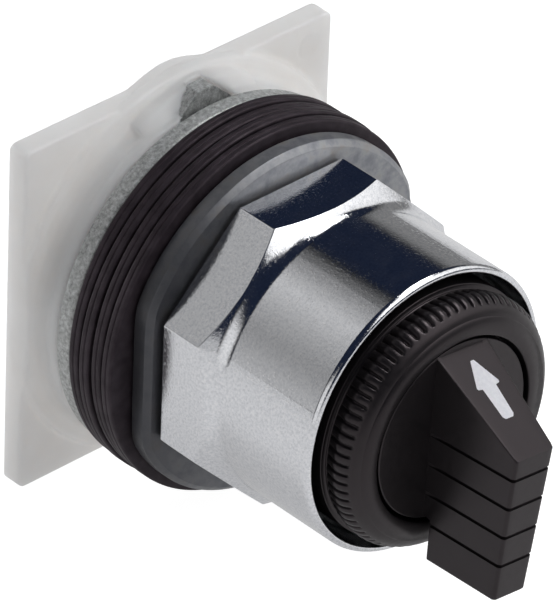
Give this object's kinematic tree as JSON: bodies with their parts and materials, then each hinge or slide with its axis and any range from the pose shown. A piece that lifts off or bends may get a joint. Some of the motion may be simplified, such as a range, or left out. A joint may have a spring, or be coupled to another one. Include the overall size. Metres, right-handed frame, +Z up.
{
  "type": "rotary selector switch operator",
  "caption": "Panel-mounted rotary switch operator with a lever knob, knurled bezel, chromed octagonal nut, rubber gaskets and a square back plate for contact blocks.",
  "frame": {"origin": "where the operator's axis crosses the rear face of the panel, on the front face of the front gasket", "axes": "-Y out of the panel towards the user, +Z up with the locating lug at 12 o'clock, +X to the user's right"},
  "size_m": [0.0418, 0.0558, 0.044],
  "materials": {
    "milky_plastic": "milky translucent moulding",
    "zinc": null,
    "black_rubber": "matte black",
    "grey_washer": "satin grey",
    "chrome": "bright chrome plate",
    "black_plastic": "black, soft sheen",
    "white_plastic": "white, flush inlay",
    "steel": "bright zinc plated",
    "spring_steel": "drawn or rolled spring steel",
    "brass": "turned",
    "natural_nylon": "natural nylon"
  },
  "bodies": {
    "operator_body": {"back_plate": "milky_plastic", "operator_housing": "zinc", "gasket_1": "black_rubber", "gasket_2": "black_rubber", "gasket_3": "black_rubber", "gasket_4": "black_rubber", "trim_washer": "grey_washer", "ring_nut": "chrome", "bezel_ring": "black_plastic", "shaft_bush": "brass", "thrust_washer": "steel", "knob_o_ring": "black_rubber", "knob_gasket": "black_rubber", "detent_spring_upper": "spring_steel", "detent_spring_lower": "spring_steel", "return_spring_left": "spring_steel", "return_spring_right": "spring_steel", "retainer_plate": "steel", "plate_screw_1": "steel", "plate_screw_2": "steel", "plate_screw_3": "steel", "plate_screw_4": "steel", "block_insert_upper": "brass", "block_insert_lower": "brass"},
    "rotor": {"knob": "black_plastic", "arrow_insert": "white_plastic", "shaft": "steel", "shaft_circlip": "spring_steel", "detent_wheel": "natural_nylon", "face_cam": "natural_nylon", "cam_screw": "steel"},
    "left_plunger": {"plunger_left": "natural_nylon"},
    "right_plunger": {"plunger_right": "natural_nylon"}
  },
  "joints": [
    {"name": "knob_turn", "type": "hinge", "parent": "operator_body", "child": "rotor", "pos_m": [0, 0, 0], "axis": [0, 1, 0], "range_deg": [-45, 45], "deforming": ["detent_spring_upper", "detent_spring_lower"]},
    {"name": "plunger_left_slide", "type": "slide", "parent": "operator_body", "child": "left_plunger", "axis": [0, 1, 0], "range_m": [-0.00151, 0.00151], "deforming": ["return_spring_left"]},
    {"name": "plunger_right_slide", "type": "slide", "parent": "operator_body", "child": "right_plunger", "axis": [0, 1, 0], "range_m": [-0.00151, 0.00151], "deforming": ["return_spring_right"]}
  ],
  "couplings": [
    {"joint": "plunger_right_slide", "follows": "knob_turn", "m_per_rad": 0.0019099},
    {"joint": "plunger_left_slide", "follows": "knob_turn", "m_per_rad": -0.0019099}
  ]
}
